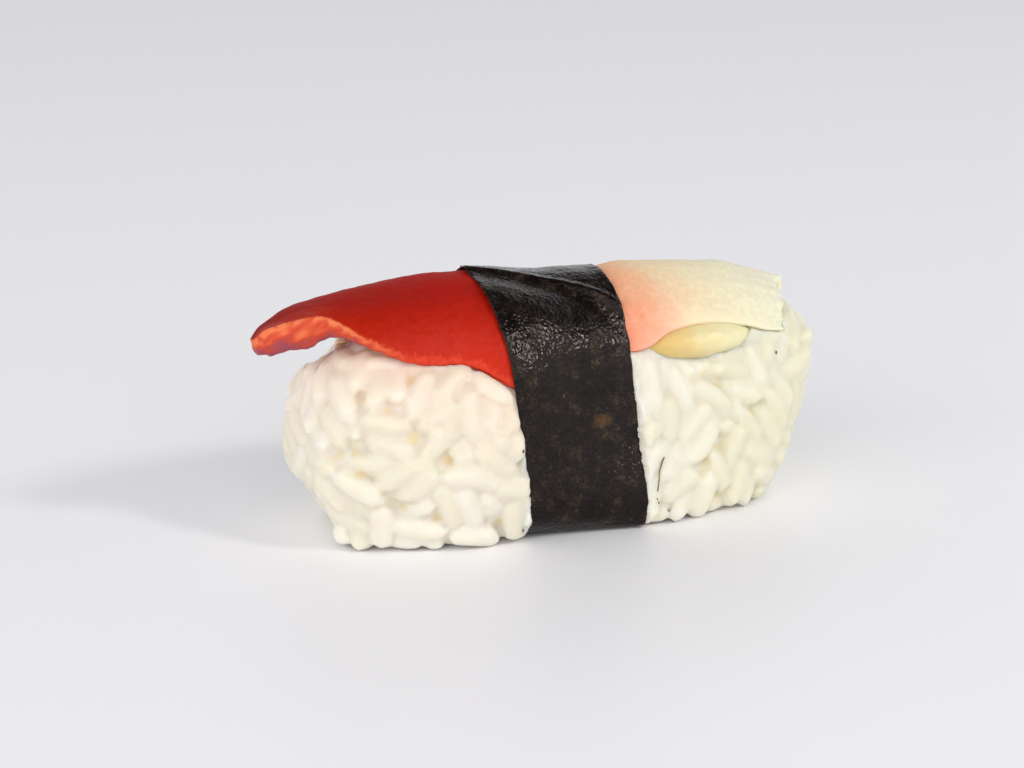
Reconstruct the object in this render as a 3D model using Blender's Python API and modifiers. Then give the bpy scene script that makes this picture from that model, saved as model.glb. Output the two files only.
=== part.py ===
"""Surf clam nigiri with a seaweed band, at its real size.

A pressed block of sushi rice carries an opened slice of surf clam foot, and one strip of roasted
seaweed is wrapped round both, with its ends stuck together under the rice.
Lengths are in metres. +Z is up, +X runs along the block from the clam's red tip to its pale base,
and -Y is the front. The object stands on Z = 0, with the origin under the middle of its box.
"""

import math

import bmesh
import bpy
from mathutils import Vector

MM = 0.001

# Driving dimensions of the rice block
RICE_TOP = 23.4 * MM
RICE_MIDDLE_Z = 11.0 * MM
RICE_BELOW_GROUND = 4.0 * MM
RICE_PLAN_ROUNDNESS = 2.8
RICE_SIDE_ROUNDNESS = 3.6
GRAIN_RELIEF = 1.3 * MM
GRAIN_RELIEF_LEVEL = 0.6
GRAIN_SPACING = 4.2 * MM
RICE_CUTS = (33, 14, 11)

# The rice block by height, in millimetres, before its corners are rounded: height, how far it reaches to the
# left and the right, its front half width at the left and at the right end, and its back half width
RICE_LEVELS = (
    (0.0, 28.2, 26.8, 13.2, 13.8, 14.2),
    (6.0, 28.9, 28.8, 14.4, 13.0, 14.6),
    (11.0, 29.2, 30.8, 14.4, 11.5, 14.3),
    (16.0, 28.3, 32.2, 13.3, 9.2, 13.3),
    (23.4, 27.4, 31.8, 11.8, 8.0, 12.0),
)
# Where the front changes from its left half widths to its right ones, as shares of the half length
RICE_FRONT_CHANGE = (-0.3, 0.3)

# Driving dimensions of the clam slice and the seaweed band
CLAM_GRID = (38, 14)
BAND_THICKNESS = 0.35 * MM
BAND_TOP = 26.0 * MM
BAND_LEFT_X = (-7.4 * MM, -9.4 * MM)
BAND_RIGHT_X = (6.3 * MM, 6.0 * MM)
BAND_SLICES = 6
BAND_SAMPLES = 64
BAND_STEPS_OVER_CLAM = 4

# The inner side of the band below the clam, in millimetres: height, then the half width at the front left,
# front right, back left and back right
BAND_LEVELS = (
    (10.5, 12.3, 10.8, 13.2, 12.4),
    (3.8, 12.9, 13.1, 13.8, 13.4),
    (1.1, 11.0, 12.8, 12.4, 12.4),
    (0.35, 8.4, 11.4, 10.0, 10.0),
    (0.35, 4.4, 5.6, 5.0, 5.0),
)

# The inner fold of the clam that shows under its front edge near the base
FOLD_CENTRE = Vector((15.0, -4.8, 19.4)) * MM
FOLD_RADII = Vector((7.2, 3.2, 2.9)) * MM
FOLD_SEGMENTS = (24, 12)

# Room left between two pieces that touch, and the cube that stands for the ground
GAP = 0.3 * MM
GROUND_SIZE = 120 * MM

# The room cut into the rice for the band, and for the clam as that many times the flesh above its skin
BAND_ROOM = 5 * MM
CLAM_ROOM_ABOVE = 2

# The clam from its tip to its base, in millimetres and degrees: place of the ridge, then for the front and
# the back half the width along the skin and the slope at the edge, then how thick the flesh is
CLAM_COLUMNS = (
    "x", "ridge_y", "ridge_z", "front", "front_slope", "back", "back_slope",
    "flesh", "front_edge", "back_edge",
)
CLAM_STATIONS = (
    (-33.6, 0.4, 21.6, 1.0, 8, 1.0, 8, 1.6, 1.3, 1.3),
    (-32.7, 0.6, 22.7, 2.6, 14, 2.6, 14, 2.6, 2.2, 2.0),
    (-30.7, 0.8, 24.2, 4.0, 20, 4.2, 22, 3.6, 3.0, 2.6),
    (-28.0, 0.9, 25.4, 5.2, 26, 6.0, 30, 3.8, 2.8, 2.4),
    (-23.5, 1.0, 26.3, 7.2, 38, 9.0, 44, 3.9, 2.1, 1.8),
    (-18.0, 1.0, 26.8, 11.0, 58, 12.5, 60, 4.0, 1.3, 1.3),
    (-12.5, 1.0, 26.8, 13.0, 70, 14.5, 72, 3.8, 1.2, 1.2),
    (-8.0, 1.0, 26.5, 15.6, 78, 15.8, 80, 3.6, 1.2, 1.2),
    (-0.5, 1.0, 25.9, 14.4, 78, 15.0, 80, 3.5, 1.2, 1.2),
    (6.5, 1.0, 25.5, 12.6, 76, 14.0, 80, 3.5, 1.3, 1.2),
    (11.5, 1.0, 25.9, 11.2, 58, 13.4, 72, 4.0, 3.2, 1.6),
    (16.0, 1.0, 25.8, 10.8, 54, 12.6, 66, 4.2, 3.4, 1.8),
    (21.5, 1.0, 25.3, 10.6, 58, 11.6, 60, 4.2, 2.6, 2.0),
    (26.0, 1.0, 24.1, 9.6, 60, 10.2, 54, 3.6, 2.2, 2.0),
    (28.6, 1.0, 23.0, 8.2, 58, 9.0, 48, 2.6, 1.8, 1.8),
)
# How far the back corner of the clam's base lies beyond its ridge, and how sharply that sets in
CLAM_BASE_SKEW = 2.2 * MM
CLAM_SKEW_POWER = 4


def between(stations, column, x):
    """The value in that column at x, on a smooth curve through the stations."""
    places = [row[0] for row in stations]
    last = len(stations) - 2
    i = min(max(sum(place <= x for place in places) - 1, 0), last)
    x0, x1 = places[i], places[i + 1]
    share = min(max((x - x0) / (x1 - x0), 0.0), 1.0)

    def value(k):
        return stations[min(max(k, 0), last + 1)][column]

    def slope(k):
        low, high = max(k - 1, 0), min(k + 1, last + 1)
        return (value(high) - value(low)) / (places[high] - places[low])

    step = x1 - x0
    square, cube = share * share, share * share * share
    return (
        value(i) * (2 * cube - 3 * square + 1)
        + slope(i) * step * (cube - 2 * square + share)
        + value(i + 1) * (3 * square - 2 * cube)
        + slope(i + 1) * step * (cube - square)
    )


def clam_at(x):
    """All of the clam's measures at x, in metres and radians."""
    measures = {
        name: between(CLAM_STATIONS, column, x / MM)
        for column, name in enumerate(CLAM_COLUMNS)
        if column
    }
    for name in measures:
        measures[name] *= math.radians(1) if name.endswith("slope") else MM
    return measures


def clam_skin(x, across, outwards=0.0, wider=0.0):
    """A point on the clam's upper skin at x. across runs from -1, the front edge, to 1, the back edge."""
    clam = clam_at(x)
    half = "front" if across < 0 else "back"
    side = -1 if across < 0 else 1
    width, slope = clam[half], clam[half + "_slope"]
    turned = slope * abs(across)
    radius = width / slope
    y = clam["ridge_y"] + side * radius * math.sin(turned)
    z = clam["ridge_z"] - radius * (1 - math.cos(turned))
    y += side * (math.sin(turned) * outwards + math.cos(turned) * wider * abs(across))
    z += math.cos(turned) * outwards - math.sin(turned) * wider * abs(across)
    return Vector((x, y, z))


def flesh_at(x, across):
    """How thick the clam's flesh is under that point of the skin."""
    clam = clam_at(x)
    edge = clam["front_edge" if across < 0 else "back_edge"]
    return edge + (clam["flesh"] - edge) * (1 - across * across)


def clam_sheet(name, wider=0.0, clearance=0.0, above=0.0):
    """The clam's skin as an open sheet with a Solidify for its flesh. above adds that many times the flesh."""
    along, over = CLAM_GRID
    tip = CLAM_STATIONS[0][0] * MM - wider
    base = CLAM_STATIONS[-1][0] * MM + wider
    thickest = max(row[CLAM_COLUMNS.index("flesh")] for row in CLAM_STATIONS) * MM + clearance
    sheet = bmesh.new()
    rows = []
    shares = []
    for i in range(along + 1):
        share = i / along
        ridge_x = tip + (base - tip) * share
        row = []
        for j in range(over + 1):
            across = 2 * j / over - 1
            point = clam_skin(ridge_x, across, wider=wider)
            point.x += CLAM_BASE_SKEW * across * share**CLAM_SKEW_POWER
            row.append(sheet.verts.new(point))
            shares.append((flesh_at(ridge_x, across) + clearance) / thickest)
        rows.append(row)
    for near, far in zip(rows, rows[1:]):
        for corners in zip(near, far, far[1:], near[1:]):
            sheet.faces.new(corners)
    obj = mesh_object(name, sheet)
    group = obj.vertex_groups.new(name="flesh")
    for index, share in enumerate(shares):
        group.add([index], share, "REPLACE")
    solidify = obj.modifiers.new("flesh", "SOLIDIFY")
    solidify.thickness = thickest * (1 + above)
    solidify.offset = (above - 1) / (above + 1)
    solidify.vertex_group = group.name
    return obj


def closed_curve(points, samples):
    """Points spread over a smooth closed curve through the given ones."""
    count = len(points)
    spread = []
    for k in range(samples):
        place = k * count / samples
        i = int(place)
        t = place - i
        before, here, there, after = (points[(i + n) % count] for n in (-1, 0, 1, 2))
        spread.append(
            0.5
            * (
                2 * here
                + (there - before) * t
                + (2 * before - 5 * here + 4 * there - after) * t * t
                + (3 * here - before - 3 * there + after) * t * t * t
            )
        )
    return spread


def band_path(right, outwards=0.0):
    """The inner side of the band, from its left edge, 0, to its right edge, 1, as points with no x yet."""
    ridge_x = BAND_LEFT_X[1] + (BAND_RIGHT_X[1] - BAND_LEFT_X[1]) * right
    steps = BAND_STEPS_OVER_CLAM
    over_clam = [clam_skin(ridge_x, step / steps, GAP) for step in range(-steps, steps + 1)]
    front = []
    back = []
    for z, front_left, front_right, back_left, back_right in BAND_LEVELS:
        front.append(Vector((0, -(front_left + (front_right - front_left) * right) * MM, z * MM)))
        back.append(Vector((0, (back_left + (back_right - back_left) * right) * MM, z * MM)))
    middle = Vector((0, 0, RICE_TOP / 2))
    path = []
    for point in closed_curve(over_clam + back + front[::-1], BAND_SAMPLES):
        point.x = 0
        point += (point - middle).normalized() * outwards
        point.z = max(point.z, BAND_THICKNESS + outwards)
        path.append(point)
    return path


def band_tube(name, thickness, outwards=0.0, wider=0.0):
    """The band as an open tube along X, with a Solidify that gives it its thickness."""
    tube = bmesh.new()
    rings = []
    for k in range(BAND_SLICES):
        right = k / (BAND_SLICES - 1)
        ring = []
        for point in band_path(right, outwards):
            up = point.z / BAND_TOP
            left_x = BAND_LEFT_X[0] + (BAND_LEFT_X[1] - BAND_LEFT_X[0]) * up - wider
            right_x = BAND_RIGHT_X[0] + (BAND_RIGHT_X[1] - BAND_RIGHT_X[0]) * up + wider
            point.x = left_x + (right_x - left_x) * right
            ring.append(tube.verts.new(point))
        rings.append(ring)
    for near, far in zip(rings, rings[1:]):
        for corners in zip(near, near[1:] + near[:1], far[1:] + far[:1], far):
            tube.faces.new(corners)
    bmesh.ops.recalc_face_normals(tube, faces=tube.faces)
    obj = mesh_object(name, tube)
    solidify = obj.modifiers.new("leaf", "SOLIDIFY")
    solidify.thickness = thickness
    solidify.offset = 1
    return obj


def rice_block(name):
    """The pressed rice: a box bent to a rounded block, with relief at the scale of its grains."""
    block = bmesh.new()
    bmesh.ops.create_cube(block, size=2)
    for axis, cuts in enumerate(RICE_CUTS):
        along = [
            edge for edge in block.edges if abs((edge.verts[0].co - edge.verts[1].co)[axis]) > MM
            and all(abs((edge.verts[0].co - edge.verts[1].co)[other]) < MM for other in range(3) if other != axis)
        ]
        bmesh.ops.subdivide_edges(block, edges=along, cuts=cuts, use_grid_fill=True)
    for vert in block.verts:
        vert.co = pressed(vert.co)
    obj = mesh_object(name, block)
    grains = bpy.data.textures.new("grains", "VORONOI")
    grains.noise_scale = GRAIN_SPACING
    relief = obj.modifiers.new("grain relief", "DISPLACE")
    relief.texture = grains
    relief.texture_coords = "LOCAL"
    relief.mid_level = GRAIN_RELIEF_LEVEL
    relief.strength = -GRAIN_RELIEF
    return obj


def pressed(corner):
    """Where a point of the plain box lies on the pressed block."""
    plan, side = RICE_PLAN_ROUNDNESS, RICE_SIDE_ROUNDNESS
    level = (abs(corner.x) ** plan + abs(corner.y) ** plan) ** (1 / plan)
    share = corner / (level**side + abs(corner.z) ** side) ** (1 / side)
    up = RICE_TOP - RICE_MIDDLE_Z
    down = RICE_MIDDLE_Z + RICE_BELOW_GROUND
    z = RICE_MIDDLE_Z + share.z * (up if share.z > 0 else down)
    left, right, front_left, front_right, back = (
        between(RICE_LEVELS, column, z / MM) * MM for column in range(1, len(RICE_LEVELS[0]))
    )
    middle_left, middle_right = RICE_FRONT_CHANGE
    front_share = min(max((share.x - middle_left) / (middle_right - middle_left), 0), 1)
    front = front_left + (front_right - front_left) * front_share
    return Vector((share.x * (left if share.x < 0 else right), share.y * (front if share.y < 0 else back), z))


def mesh_object(name, shape):
    """A bmesh as an object in the model's collection."""
    mesh = bpy.data.meshes.new(name)
    shape.to_mesh(mesh)
    shape.free()
    obj = bpy.data.objects.new(name, mesh)
    MODEL.objects.link(obj)
    return obj


def as_cutter(obj):
    """Moves a helper to the cutters, which aren't part of the object."""
    MODEL.objects.unlink(obj)
    CUTTERS.objects.link(obj)
    obj.hide_render = True
    obj.display_type = "WIRE"
    return obj


def cut(obj, cutter, operation="DIFFERENCE"):
    """Takes the cutter's shape out of the object, or adds it."""
    boolean = obj.modifiers.new(cutter.name, "BOOLEAN")
    boolean.operation = operation
    boolean.solver = "EXACT"
    boolean.object = cutter


def clam_fold(name, wider=0.0):
    """The rounded body of the clam's inner fold."""
    fold = bmesh.new()
    around, up = FOLD_SEGMENTS
    bmesh.ops.create_uvsphere(fold, u_segments=around, v_segments=up, radius=1)
    for vert in fold.verts:
        vert.co = FOLD_CENTRE + Vector([v * (r + wider) for v, r in zip(vert.co, FOLD_RADII)])
    return as_cutter(mesh_object(name, fold))


def ground_cutter():
    """Everything below the plane that the food stands on."""
    slab = bmesh.new()
    bmesh.ops.create_cube(slab, size=GROUND_SIZE)
    bmesh.ops.translate(slab, verts=slab.verts, vec=(0, 0, -GROUND_SIZE / 2))
    return as_cutter(mesh_object("ground_cutter", slab))


def stand_on_origin(pieces):
    """Moves everything so that the origin lies under the middle of the whole object."""
    built = bpy.context.evaluated_depsgraph_get()
    corners = [Vector(corner) for piece in pieces for corner in piece.evaluated_get(built).bound_box]
    low, high = (Vector([pick(corner[k] for corner in corners) for k in range(3)]) for pick in (min, max))
    for obj in list(MODEL.objects) + list(CUTTERS.objects):
        obj.location = (-(low.x + high.x) / 2, -(low.y + high.y) / 2, -low.z)


def painted(obj, name, colour, roughness):
    """Gives the object its own material."""
    material = bpy.data.materials.new(name)
    material.use_nodes = True
    shader = material.node_tree.nodes["Principled BSDF"]
    shader.inputs["Base Color"].default_value = (*colour, 1)
    shader.inputs["Roughness"].default_value = roughness
    shader.inputs["Metallic"].default_value = 0
    obj.data.materials.append(material)


for old in list(bpy.data.objects):
    bpy.data.objects.remove(old)
MODEL = bpy.data.collections.new("surf_clam_nigiri")
CUTTERS = bpy.data.collections.new("cutters")
bpy.context.scene.collection.children.link(MODEL)
bpy.context.scene.collection.children.link(CUTTERS)

# The rice, cut flat where it stands, hollowed for the clam and squeezed by the band
rice = rice_block("rice")
clam_room = as_cutter(clam_sheet("clam_room", wider=GAP, clearance=GAP, above=CLAM_ROOM_ABOVE))
band_room = as_cutter(band_tube("band_room", thickness=BAND_ROOM, outwards=-GAP, wider=GAP))
for cutter in (ground_cutter(), clam_room, clam_fold("fold_room", GAP), band_room):
    cut(rice, cutter)
painted(rice, "cooked_rice", (0.86, 0.80, 0.66), 0.45)

# The clam, laid over the top of the rice with its tip in the air
clam = clam_sheet("clam")
cut(clam, clam_fold("fold"), "UNION")
painted(clam, "clam_flesh", (0.62, 0.09, 0.04), 0.4)

# The seaweed band, tight round the clam and the rice
band = band_tube("nori_band", thickness=BAND_THICKNESS)
painted(band, "roasted_seaweed", (0.02, 0.018, 0.015), 0.5)

for piece in (rice, clam, band):
    piece.data.shade_smooth()
stand_on_origin((rice, clam, band))
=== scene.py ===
"""Surf clam nigiri with a seaweed band, as it looks on a pale studio table.

Rows of sizes are in millimetres, measured from the middle of the seaweed band. +X runs from the clam's
red tip to its pale base, -Y is the front and +Z is up.
"""

import math

import bmesh
import bpy
import numpy as np
from mathutils import Matrix, Vector, kdtree, noise
from mathutils.bvhtree import BVHTree


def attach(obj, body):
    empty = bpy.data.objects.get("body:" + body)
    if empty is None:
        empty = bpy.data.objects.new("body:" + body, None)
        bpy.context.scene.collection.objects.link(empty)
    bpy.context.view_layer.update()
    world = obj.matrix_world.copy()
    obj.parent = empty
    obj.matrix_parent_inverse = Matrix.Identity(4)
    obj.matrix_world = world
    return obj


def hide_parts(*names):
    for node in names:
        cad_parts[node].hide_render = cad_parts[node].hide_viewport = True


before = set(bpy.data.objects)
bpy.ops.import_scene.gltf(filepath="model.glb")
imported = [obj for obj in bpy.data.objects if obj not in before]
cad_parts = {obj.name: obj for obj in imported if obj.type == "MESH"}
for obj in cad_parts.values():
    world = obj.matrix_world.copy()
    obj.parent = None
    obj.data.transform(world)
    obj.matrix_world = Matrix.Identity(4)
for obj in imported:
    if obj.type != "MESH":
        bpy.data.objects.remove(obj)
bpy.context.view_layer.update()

# Clam slice
# The foot of a surf clam, blanched until its tip turns red, opened like a book and laid over the rice.
# The skin side is up. The knife left a thick cut face along the front of the tip, and a frayed edge.
MM = 0.001
# From the middle of the band to the middle of the whole piece
TO_ORIGIN = Vector((0.761, -0.178, 0)) * MM
CLAM_STATIONS = (
    # x, ridge y, ridge z, front width, front slope, back width, back slope, flesh, front edge, back edge
    (-33.7, -0.2, 22.5, 0.9, 4, 0.3, 60, 2.0, 1.7, 1.2),
    (-32.8, 0.0, 23.6, 1.9, 6, 0.9, 68, 3.2, 2.9, 2.0),
    (-30.7, 0.3, 24.6, 3.0, 13, 2.4, 64, 4.0, 3.1, 2.3),
    (-28.0, 0.9, 25.3, 4.4, 16, 5.2, 56, 4.2, 3.5, 2.3),
    (-26.7, 0.9, 25.6, 5.1, 21, 6.1, 56, 4.2, 2.7, 2.1),
    (-25.5, 0.9, 25.9, 6.4, 34, 7.0, 56, 4.2, 1.8, 2.0),
    (-23.5, 1.0, 26.3, 9.0, 50, 9.0, 57, 4.1, 1.2, 1.8),
    (-18.0, 1.0, 26.9, 12.9, 68, 12.7, 68, 4.0, 0.8, 1.3),
    (-12.5, 1.0, 27.3, 14.3, 74, 14.5, 78, 3.8, 0.8, 1.2),
    (-8.0, 1.0, 27.2, 17.3, 80, 15.8, 82, 3.6, 0.9, 1.2),
    (-0.5, 1.0, 26.3, 14.4, 78, 15.0, 80, 3.5, 1.0, 1.2),
    (6.5, 1.0, 26.2, 13.1, 77, 14.2, 80, 3.5, 1.1, 1.2),
    (9.0, 1.0, 26.5, 13.1, 71, 14.0, 77, 3.7, 1.2, 1.3),
    (11.5, 1.0, 26.4, 11.8, 62, 13.4, 73, 4.0, 1.4, 1.5),
    (16.0, 1.0, 26.1, 11.0, 55, 12.6, 66, 4.2, 1.3, 1.6),
    (21.5, 1.0, 25.4, 10.7, 59, 11.6, 61, 4.0, 0.9, 1.3),
    (26.0, 1.0, 24.0, 10.0, 64, 10.2, 56, 3.0, 0.7, 1.1),
    (28.6, 1.0, 23.1, 9.1, 65, 9.0, 50, 1.6, 0.6, 0.8),
)
CLAM_BASE_SKEW = 2.2
# Behind the ridge the skin falls away at once: the slope, and how softly and how far that goes
BACK_FALL = 0.27
BACK_ROUNDING = 1.2
BACK_REACH = 8.0
# Rows of waves: height, length and seed
CLAM_FRAY = ((0.2, 0.9, 3.0), (0.3, 3.2, 8.0))
CLAM_SWELL = ((0.22, 6.5, 1.0), (0.09, 2.4, 5.0))
CLAM_DIMPLES = ((0.04, 0.9, 7.0),)
CLAM_RIM_BULGE = 0.16
CLAM_ROWS = 300
CLAM_COLUMNS = 90
CLAM_RIM_STEPS = 8


def stations_at(stations, x):
    """Every column of the stations at the places x, on smooth curves through the rows."""
    table = np.array(stations, float)
    places = table[:, 0]
    ahead = np.minimum(np.arange(len(table)) + 1, len(table) - 1)
    behind = np.maximum(np.arange(len(table)) - 1, 0)
    slopes = (table[ahead] - table[behind]) / (places[ahead] - places[behind])[:, None]
    here = np.clip(np.searchsorted(places, x, side="right") - 1, 0, len(table) - 2)
    step = (places[here + 1] - places[here])[:, None]
    share = np.clip((x - places[here])[:, None] / step, 0, 1)
    square, cube = share**2, share**3
    return (
        table[here] * (2 * cube - 3 * square + 1)
        + slopes[here] * step * (cube - 2 * square + share)
        + table[here + 1] * (3 * square - 2 * cube)
        + slopes[here + 1] * step * (cube - square)
    )


def clam_skin(x, across, outwards=0.0):
    """Points of the clam's upper skin, a row for each x. across is -1 at the front edge and 1 at the back."""
    rows = stations_at(CLAM_STATIONS, x)
    ridge_y, ridge_z, front, front_slope, back, back_slope = (rows[:, k][:, None] for k in range(1, 7))
    in_front = across < 0
    width = np.where(in_front, front, back)
    slope = np.radians(np.where(in_front, front_slope, back_slope))
    turned = slope * np.abs(across)
    radius = width / slope + outwards
    side = np.where(in_front, -1.0, 1.0)
    y = ridge_y + side * radius * np.sin(turned)
    z = ridge_z + outwards - radius * (1 - np.cos(turned))
    behind = (y - ridge_y + np.hypot(y - ridge_y, BACK_ROUNDING)) / 2
    z -= BACK_FALL * behind / (1 + behind / BACK_REACH)
    return np.stack([np.broadcast_to(x[:, None], y.shape), y, z], -1)


def ripple(points, size, seed=0.0):
    """Smooth noise from -1 to 1 at each point, with bumps of about that size."""
    offset = Vector((seed, seed * 0.7, -seed))
    flat = [noise.noise(Vector(point) / size + offset) for point in points.reshape(-1, 3)]
    return np.array(flat).reshape(points.shape[:-1])


def waves(points, rows):
    """Layers of smooth noise at each point, a row for each with its height, length and seed."""
    return sum(height * ripple(points, length, seed) for height, length, seed in rows)


def smooth_step(value, low, high):
    """0 below low, 1 above high and a smooth rise between them."""
    share = np.clip((value - low) / (high - low), 0, 1)
    return share * share * (3 - 2 * share)


def unit(vectors):
    """The vectors at length one."""
    return vectors / np.maximum(np.linalg.norm(vectors, axis=-1, keepdims=True), 1e-9)


def outward(grid):
    """Unit normals of a grid of points, to the left of its rows seen along its columns."""
    return unit(np.cross(np.gradient(grid, axis=0), np.gradient(grid, axis=1)))


def slab(outer, inner, steps, bulge):
    """A closed solid between two grids of points.

    Gives its points and faces, and for each point its rim share, 0 outside and 2 inside, and the grid's
    point that it belongs to.
    """
    rows, columns = outer.shape[:2]
    count = rows * columns
    index = np.arange(count).reshape(rows, columns)
    quads = np.stack([index[:-1, :-1], index[1:, :-1], index[1:, 1:], index[:-1, 1:]], -1).reshape(-1, 4)
    around = np.concatenate([index[0, :-1], index[:-1, -1], index[-1, :0:-1], index[:0:-1, 0]])
    row, column = np.divmod(around, columns)
    nearby = outer[np.clip(row, 1, rows - 2), np.clip(column, 1, columns - 2)]
    edge, floor = outer[row, column], inner[row, column]
    away = unit(edge - nearby)
    thick = np.linalg.norm(edge - floor, axis=-1, keepdims=True)
    points = [outer.reshape(-1, 3), inner.reshape(-1, 3)]
    share = [np.zeros(count), np.full(count, 2.0)]
    loops = [around]
    for k in range(1, steps):
        part = k / steps
        points.append(edge + (floor - edge) * part + away * thick * bulge * math.sin(math.pi * part))
        share.append(np.full(len(around), part))
        loops.append(2 * count + (k - 1) * len(around) + np.arange(len(around)))
    loops.append(around + count)
    faces = [quads, quads[:, ::-1] + count]
    for near, far in zip(loops, loops[1:]):
        faces.append(np.stack([near, np.roll(near, -1), np.roll(far, -1), far], -1))
    source = np.concatenate([index.ravel(), index.ravel()] + [around] * (steps - 1))
    return np.concatenate(points), np.concatenate(faces), np.concatenate(share), source


def mark(mesh, key, values):
    """Gives each vertex of a mesh a number under that name."""
    mesh.attributes.new(key, "FLOAT", "POINT").data.foreach_set("value", np.asarray(values, np.float32))


def put(name, data):
    """An object with that data, standing in the scene."""
    made = bpy.data.objects.new(name, data)
    bpy.context.scene.collection.objects.link(made)
    return made


def piece(name, points, faces, marks=()):
    """An object from points in millimetres and faces, with its marks as attributes, moved to the frame."""
    mesh = bpy.data.meshes.new(name)
    placed = np.asarray(points) * MM + np.array(TO_ORIGIN)
    mesh.from_pydata(placed.tolist(), [], [list(map(int, face)) for face in faces])
    for key, values in dict(marks).items():
        mark(mesh, key, values)
    mesh.shade_smooth()
    return put(name, mesh)


clam_x = np.linspace(CLAM_STATIONS[0][0], CLAM_STATIONS[-1][0], CLAM_ROWS + 1)
clam_across = np.linspace(-1, 1, CLAM_COLUMNS + 1)
clam_share = np.linspace(0, 1, CLAM_ROWS + 1)
clam_rows = stations_at(CLAM_STATIONS, clam_x)

# The knife's edge frays by a few tenths of a millimetre, more where the cut face is thick
edge_line = np.stack([clam_x, np.zeros_like(clam_x), np.zeros_like(clam_x)], -1)
fray = waves(edge_line, CLAM_FRAY)
fray *= smooth_step(clam_x, -26, -20) * (1 - 0.75 * smooth_step(clam_x, 5, 8))
near_edge = smooth_step(-clam_across, 0.72, 1.0)
front_width = clam_rows[:, 3]
across_grid = clam_across[None, :] * (1 + (fray / front_width)[:, None] * near_edge[None, :])
skin = clam_skin(clam_x, across_grid)

# The base was torn off the shell: a slanted, ragged end with one small nub of muscle left on it
ragged = 0.9 * np.array([noise.noise(Vector((a * 7, 4, 0))) for a in clam_across])
ragged += 0.35 * np.array([noise.noise(Vector((a * 25, 9, 0))) for a in clam_across])
nub = 1.1 * np.exp(-(((clam_across + 0.06) / 0.1) ** 2))
skin[:, :, 0] += CLAM_BASE_SKEW * clam_across[None, :] * clam_share[:, None] ** 4
skin[:, :, 0] += (ragged + nub - 0.5)[None, :] * clam_share[:, None] ** 14

# Soft swellings of the flesh, held flat where the band presses on it
free = 1 - 0.8 * (smooth_step(clam_x, -11, -8) - smooth_step(clam_x, 5, 8))[:, None]
lift = outward(skin)
skin = skin + lift * (waves(skin, CLAM_SWELL) * free + waves(skin, CLAM_DIMPLES))[:, :, None]
flesh_middle, flesh_front, flesh_back = (clam_rows[:, k][:, None] for k in (7, 8, 9))
flesh_edge = np.where(clam_across[None, :] < 0, flesh_front, flesh_back)
flesh = flesh_edge + (flesh_middle - flesh_edge) * (1 - clam_across[None, :] ** 2)
# The knife cut straight down through the flesh at the tip
inward = unit(-outward(skin) * (0.3, 1, 1))
underside = skin + inward * flesh[:, :, None]
clam_points, clam_faces, clam_rim, clam_source = slab(skin, underside, CLAM_RIM_STEPS, CLAM_RIM_BULGE)
clam_marks = {
    "along": np.repeat(clam_x, CLAM_COLUMNS + 1)[clam_source],
    "across": np.tile(clam_across, CLAM_ROWS + 1)[clam_source],
    "rim": clam_rim,
}
clam = piece("clam_slice", clam_points, clam_faces, clam_marks)


def linear(colour, alpha=1.0):
    """An sRGB hex colour as the linear one that a shader takes."""
    parts = [int(colour[k : k + 2], 16) / 255 for k in (1, 3, 5)]
    return (*(c / 12.92 if c <= 0.04045 else ((c + 0.055) / 1.055) ** 2.4 for c in parts), alpha)


def wire(tree, node, inputs):
    """Sets a node's inputs. A value stays on its socket, and a socket or a node's first output is linked."""
    for key, value in inputs.items():
        if isinstance(value, bpy.types.Node):
            value = next(output for output in value.outputs if output.enabled)
        if isinstance(value, bpy.types.NodeSocket):
            tree.links.new(value, node.inputs[key])
        else:
            node.inputs[key].default_value = value


def add(tree, kind, inputs=(), stops=(), **settings):
    """Adds a node with its settings, colour stops and inputs. The kind of a shader node is its name alone."""
    made = tree.nodes.new(kind if "Node" in kind else "ShaderNode" + kind)
    for key, value in settings.items():
        setattr(made, key, value)
    if stops:
        ramp = made.color_ramp.elements
        while len(ramp) < len(stops):
            ramp.new(1.0)
        for element, (place, colour) in zip(ramp, stops):
            element.position = place
            element.color = linear(colour)
    wire(tree, made, dict(inputs))
    return made


def finish_of(made, name):
    """A new material on a piece, with its tree and its shader."""
    material = bpy.data.materials.new(name)
    material.use_nodes = True
    made.data.materials.append(material)
    return material.node_tree, material.node_tree.nodes["Principled BSDF"]


def grain(size):
    """The noise scale that draws bumps of that size in millimetres."""
    return 1 / (size * MM)


# Blanched surf clam foot: satin wet skin, red from the tip to under the band, then coral, then cream.
# Light goes a little way in, so thin edges glow. The cut face is paler, with slanting muscle fibres.
tree, shader = finish_of(clam, "blanched_surf_clam")
place = add(tree, "TexCoord").outputs["Object"]
along, across, rim = (
    add(tree, "Attribute", attribute_name=key).outputs["Fac"] for key in ("along", "across", "rim")
)
patches = add(tree, "TexNoise", {"Vector": place, "Scale": grain(4.0), "Detail": 4.0, "Roughness": 0.6})
mottle = add(tree, "TexNoise", {"Vector": place, "Scale": grain(0.7), "Detail": 5.0, "Roughness": 0.65})
# The colour bands wander by up to 2 mm
wander = add(tree, "Math", {0: patches, 1: 6.0, 2: -3.0}, operation="MULTIPLY_ADD")
band_place = add(tree, "Math", {0: along, 1: wander}, operation="ADD")
front_lag = add(tree, "Math", {0: across, 1: 2.5, 2: band_place}, operation="MULTIPLY_ADD")
length_share = add(tree, "MapRange", {"Value": front_lag, "From Min": -34.0, "From Max": 30.0})
skin_colour = add(
    tree, "ValToRGB", {"Fac": length_share},
    stops=(
        (0.0, "#8c1206"), (0.12, "#9c1507"), (0.3, "#a51508"), (0.42, "#ad180a"), (0.54, "#c93a20"),
        (0.61, "#e89e78"), (0.655, "#f0bc96"), (0.7, "#f3d8b0"), (0.77, "#f4e7c1"), (0.9, "#f1edd0"),
        (1.0, "#efefd8"),
    ),
)
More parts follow.
